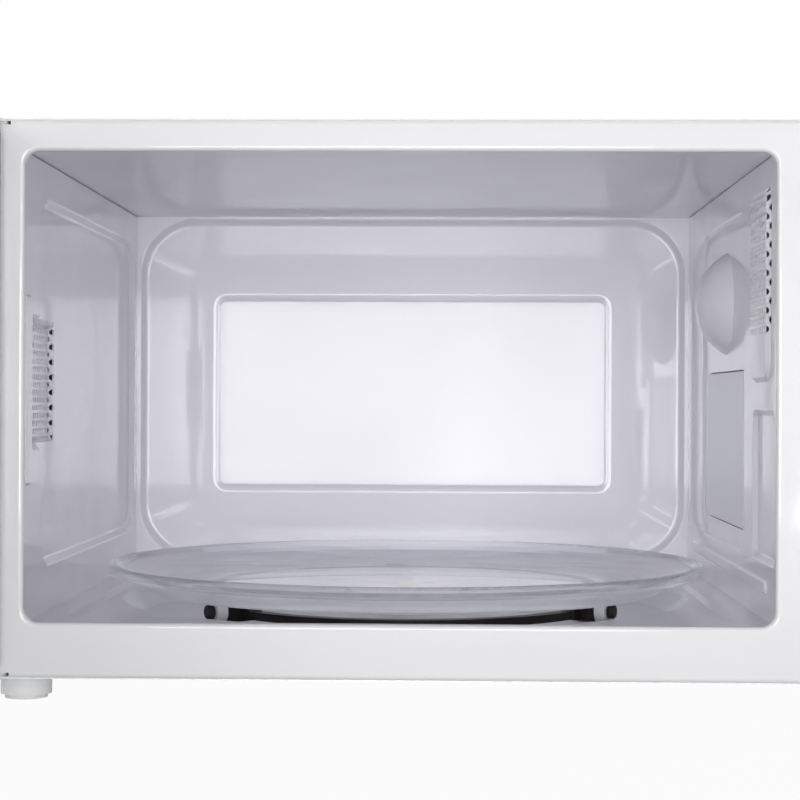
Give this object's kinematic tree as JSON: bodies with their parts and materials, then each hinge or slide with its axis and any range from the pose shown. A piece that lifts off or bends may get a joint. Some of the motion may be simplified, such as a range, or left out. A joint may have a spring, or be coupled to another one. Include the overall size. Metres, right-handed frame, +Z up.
{
  "type": "freestanding microwave oven",
  "caption": "Freestanding microwave oven with a side-hinged door, turning glass plate on a roller ring, dial controls and a door release button.",
  "frame": {"origin": "on the counter, under the middle of the case without the door and the controls' front", "axes": "+X to the right seen from the front, +Y from the front into the oven, +Z up"},
  "size_m": [0.5811, 0.7619, 0.268],
  "materials": {
    "white_enamel": "gloss",
    "cavity_paint": "gloss",
    "case_paint": "satin",
    "plated_steel": "satin",
    "spring_steel": "satin",
    "white_plastic": "gloss",
    "black_plastic": "matte",
    "grey_plastic": "matte",
    "natural_plastic": "matte",
    "mica": "satin",
    "tempered_glass": "gloss",
    "dark_glass": "gloss",
    "clear_film": "gloss",
    "screen_steel": "matte",
    "magnet": "matte",
    "fins": "satin",
    "winding": "gloss",
    "laminations": "satin",
    "can": "satin",
    "pale_foot": "matte",
    "board": "satin"
  },
  "bodies": {
    "oven": {"front_frame": "white_enamel", "cavity_floor": "cavity_paint", "cavity_ceiling": "cavity_paint", "cavity_left_wall": "cavity_paint", "cavity_right_wall": "cavity_paint", "cavity_back_panel": "cavity_paint", "waveguide_cover": "mica", "base_plate": "plated_steel", "outer_case": "case_paint", "back_plate": "plated_steel", "feet": "pale_foot", "body_screws": "plated_steel", "cord_gland": "black_plastic", "turntable_motor": "plated_steel", "hinge_plates": "plated_steel", "hinge_pins": "plated_steel", "control_panel": "white_plastic", "timer_unit": "grey_plastic", "power_selector": "grey_plastic", "release_spring": "spring_steel", "latch_bracket": "natural_plastic", "interlock_switches": "black_plastic", "waveguide": "plated_steel", "magnetron_yoke": "plated_steel", "magnetron_tube": "fins", "magnetron_magnets": "magnet", "magnetron_filter_box": "plated_steel", "thermal_cutout": "black_plastic", "transformer_core": "laminations", "transformer_windings": "winding", "capacitor": "can", "capacitor_clamp": "plated_steel", "high_voltage_diode": "black_plastic", "fan_shroud": "natural_plastic", "fan_motor": "laminations", "air_duct": "natural_plastic", "oven_lamp": "tempered_glass", "lamp_holder": "natural_plastic", "noise_filter": "board"},
    "door": {"door_outer_frame": "white_plastic", "door_window": "dark_glass", "door_steel_panel": "white_enamel", "door_screen": "screen_steel", "door_inner_film": "clear_film", "door_choke_cover": "grey_plastic", "latch_spring": "spring_steel"},
    "latch": {"door_latch": "natural_plastic"},
    "button": {"release_button": "white_plastic"},
    "lever": {"release_lever": "natural_plastic"},
    "timer_dial": {"timer_knob": "white_plastic", "timer_shaft": "plated_steel"},
    "power_dial": {"power_knob": "white_plastic", "power_shaft": "plated_steel"},
    "turntable_drive": {"turntable_coupler": "natural_plastic"},
    "plate": {"glass_plate": "tempered_glass"},
    "ring": {"roller_ring": "black_plastic"},
    "wheel_1": {"roller_wheel_1": "grey_plastic"},
    "wheel_2": {"roller_wheel_2": "grey_plastic"},
    "wheel_3": {"roller_wheel_3": "grey_plastic"},
    "fan": {"fan_blade": "natural_plastic"}
  },
  "joints": [
    {"name": "door_swing", "type": "hinge", "parent": "oven", "child": "door", "pos_m": [-0.24, -0.193, 0], "axis": [0, 0, 1], "range_deg": [0, 100]},
    {"name": "latch_lift", "type": "slide", "parent": "door", "child": "latch", "axis": [0, 0, 1], "range_m": [0, 0.0036], "deforming": ["latch_spring"]},
    {"name": "release_button_push", "type": "slide", "parent": "oven", "child": "button", "axis": [0, 1, 0], "range_m": [0, 0.006], "stiffness_N_per_m": 400, "springref_m": -0.002},
    {"name": "release_lever_turn", "type": "hinge", "parent": "oven", "child": "lever", "pos_m": [0.1955, -0.1805, 0.072], "axis": [1, 0, 0], "range_deg": [0, 15.2]},
    {"name": "timer_knob_turn", "type": "hinge", "parent": "oven", "child": "timer_dial", "pos_m": [0.1955, -0.221, 0.148], "axis": [0, 1, 0], "range_deg": [0, 310]},
    {"name": "power_knob_turn", "type": "hinge", "parent": "oven", "child": "power_dial", "pos_m": [0.1955, -0.221, 0.218], "axis": [0, 1, 0], "range_deg": [0, 240]},
    {"name": "turntable_spin", "type": "hinge", "parent": "oven", "child": "turntable_drive", "pos_m": [-0.053, -0.018, 0], "axis": [0, 0, 1], "continuous": true},
    {"name": "plate_lift", "type": "slide", "parent": "turntable_drive", "child": "plate", "axis": [0, 0, 1], "range_m": [0, 0.06]},
    {"name": "roller_ring_spin", "type": "hinge", "parent": "oven", "child": "ring", "pos_m": [-0.053, -0.018, 0], "axis": [0, 0, 1], "continuous": true},
    {"name": "fan_spin", "type": "hinge", "parent": "oven", "child": "fan", "pos_m": [0.182, 0.165, 0.19], "axis": [0, -1, 0], "continuous": true},
    {"name": "roller_wheel_1_spin", "type": "hinge", "parent": "ring", "child": "wheel_1", "pos_m": [-0.14624, -0.08184, 0.0335], "axis": [-0.8251, -0.565, 0], "continuous": true},
    {"name": "roller_wheel_2_spin", "type": "hinge", "parent": "ring", "child": "wheel_2", "pos_m": [0.04891, -0.06683, 0.0335], "axis": [0.9018, -0.4321, 0], "continuous": true},
    {"name": "roller_wheel_3_spin", "type": "hinge", "parent": "ring", "child": "wheel_3", "pos_m": [-0.06167, 0.09467, 0.0335], "axis": [-0.0767, 0.9971, 0], "continuous": true}
  ],
  "couplings": [
    {"joint": "latch_lift", "follows": "release_button_push", "ratio": 0.6},
    {"joint": "release_lever_turn", "follows": "release_button_push", "rad_per_m": 44},
    {"joint": "roller_ring_spin", "follows": "turntable_spin", "ratio": 0.5},
    {"joint": "roller_wheel_1_spin", "follows": "turntable_spin", "ratio": -9.1129},
    {"joint": "roller_wheel_2_spin", "follows": "turntable_spin", "ratio": -9.1129},
    {"joint": "roller_wheel_3_spin", "follows": "turntable_spin", "ratio": -9.1129}
  ]
}
